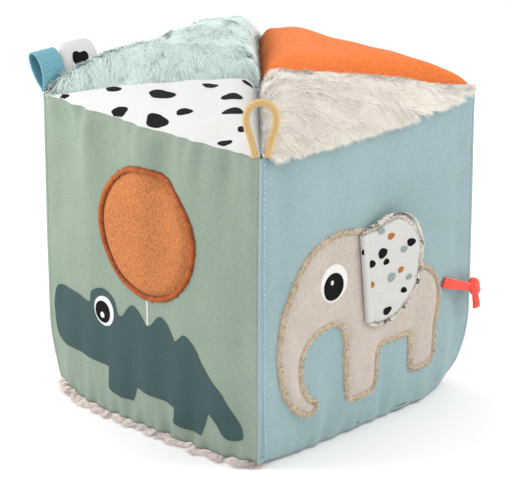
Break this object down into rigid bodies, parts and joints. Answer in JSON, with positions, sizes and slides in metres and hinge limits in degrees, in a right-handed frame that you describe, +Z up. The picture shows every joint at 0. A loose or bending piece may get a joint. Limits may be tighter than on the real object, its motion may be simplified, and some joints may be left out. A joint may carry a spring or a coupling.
{
  "type": "soft activity cube",
  "caption": "Soft fabric activity cube that unfolds into a strip of stuffed wedges, with appliqué animals, fur tops, a ribbon loop and a hanging loop.",
  "frame": {"origin": "middle of the base of the closed cube, on the surface that it stands on", "axes": "+Z up; the blue elephant face looks along -Y, the green balloon face along -X, the orange wedge along +X and the teal fur wedge along +Y"},
  "size_m": [0.1679, 0.1826, 0.1977],
  "materials": {
    "sage_cotton": "matte plain weave",
    "blue_cotton": "matte plain weave",
    "blush_cotton": "matte plain weave",
    "grey_cotton": "matte plain weave",
    "spotted_cotton": "white plain weave with irregular black spots",
    "orange_cotton": "matte canvas weave",
    "rust_cotton": "matte plain weave",
    "teal_fur": "long soft pile",
    "cream_fur": "long soft pile",
    "fawn_fur": "long soft pile",
    "fawn_plush": "short soft pile",
    "rust_plush": "short soft pile",
    "gold_stitch": "satin stitched thread",
    "rust_stitch": "satin stitched thread",
    "white_stitch": "satin stitched thread",
    "eye_stitch": "satin stitched thread",
    "wadding": "polyester fibre",
    "teal_ribbon": "ribbed grosgrain",
    "gold_cord": "braided elastic",
    "coral_cord": "flat ribbed elastic",
    "crinkle_film": "thin crinkled film",
    "clear_plastic": "translucent moulded",
    "rattle_bead": "moulded",
    "closure_tape": "hook-and-loop tape"
  },
  "bodies": {
    "blue_wedge": {"blue_outer_panel": "blue_cotton", "blue_top_panel": "cream_fur", "blue_base_panel": "spotted_cotton", "blue_inner_left_panel": "blue_cotton", "blue_inner_right_panel": "blush_cotton", "blue_filling": "wadding", "elephant_body": "fawn_plush", "elephant_border": "gold_stitch", "elephant_eye": "eye_stitch", "rattle_shell_lower": "clear_plastic", "rattle_shell_upper": "clear_plastic"},
    "green_wedge": {"green_outer_panel": "sage_cotton", "green_top_panel": "spotted_cotton", "green_base_panel": "fawn_fur", "green_inner_left_panel": "rust_cotton", "green_inner_right_panel": "blue_cotton", "green_filling": "wadding", "front_hinge_strip": "blue_cotton", "balloon_plush": "rust_plush", "balloon_border": "rust_stitch", "balloon_string": "white_stitch", "squeaker_bulb": "clear_plastic", "squeaker_reed": "clear_plastic"},
    "orange_wedge": {"orange_outer_panel": "blush_cotton", "orange_top_panel": "orange_cotton", "orange_base_panel": "spotted_cotton", "orange_inner_left_panel": "blush_cotton", "orange_inner_right_panel": "grey_cotton", "orange_filling": "wadding", "right_hinge_strip": "blush_cotton", "closure_hook_patch": "closure_tape"},
    "teal_wedge": {"teal_outer_panel": "grey_cotton", "teal_top_panel": "teal_fur", "teal_base_panel": "fawn_fur", "teal_inner_left_panel": "grey_cotton", "teal_inner_right_panel": "rust_cotton", "teal_filling": "wadding", "left_hinge_strip": "rust_cotton", "closure_loop_patch": "closure_tape"},
    "elephant_ear": {"elephant_ear_backing": "fawn_plush", "elephant_ear_crinkle_film": "crinkle_film", "elephant_ear_front": "spotted_cotton"},
    "elephant_tail": {"elephant_tail_cord": "coral_cord", "elephant_tail_knot": "coral_cord", "elephant_tail_end": "coral_cord"},
    "rattle_ball": {"rattle_ball": "rattle_bead"},
    "hanging_loop": {"hanging_loop": "gold_cord"},
    "teal_ribbon": {"teal_ribbon_loop": "teal_ribbon"},
    "spotted_tab": {"spotted_tab": "spotted_cotton"}
  },
  "joints": [
    {"name": "front_fold", "type": "hinge", "parent": "blue_wedge", "child": "green_wedge", "pos_m": [-0.08, -0.08, 0.085], "axis": [0, 0, 1], "range_deg": [0, 90]},
    {"name": "left_fold", "type": "hinge", "parent": "green_wedge", "child": "teal_wedge", "pos_m": [-0.08, 0.08, 0.085], "axis": [0, 0, 1], "range_deg": [0, 90]},
    {"name": "right_fold", "type": "hinge", "parent": "blue_wedge", "child": "orange_wedge", "pos_m": [0.08, -0.08, 0.085], "axis": [0, 0, -1], "range_deg": [0, 90]},
    {"name": "ear_lift", "type": "hinge", "parent": "blue_wedge", "child": "elephant_ear", "pos_m": [-0.009, -0.0844, 0.0625], "axis": [0.1025, 0, -0.9947], "range_deg": [-7, 130], "stiffness_Nm_per_rad": 0.004},
    {"name": "tail_swing", "type": "hinge", "parent": "blue_wedge", "child": "elephant_tail", "pos_m": [0.0575, -0.0852, 0.0653], "axis": [0, 1, 0], "range_deg": [-40, 60], "stiffness_Nm_per_rad": 0.006},
    {"name": "rattle_ball_slide", "type": "slide", "parent": "blue_wedge", "child": "rattle_ball", "axis": [0, 0, 1], "range_m": [0, 0.0138]},
    {"name": "hanging_loop_flop", "type": "hinge", "parent": "blue_wedge", "child": "hanging_loop", "pos_m": [-0.0783, -0.0783, 0.1674], "axis": [0.7071, -0.7071, 0], "range_deg": [-25, 70], "stiffness_Nm_per_rad": 0.006},
    {"name": "ribbon_flop", "type": "hinge", "parent": "teal_wedge", "child": "teal_ribbon", "pos_m": [-0.0715, 0.0813, 0.1663], "axis": [-1, 0, 0], "range_deg": [-15, 85], "stiffness_Nm_per_rad": 0.004},
    {"name": "tab_flop", "type": "hinge", "parent": "teal_wedge", "child": "spotted_tab", "pos_m": [-0.0485, 0.0816, 0.1666], "axis": [-1, 0, 0], "range_deg": [-40, 85], "stiffness_Nm_per_rad": 0.006}
  ]
}
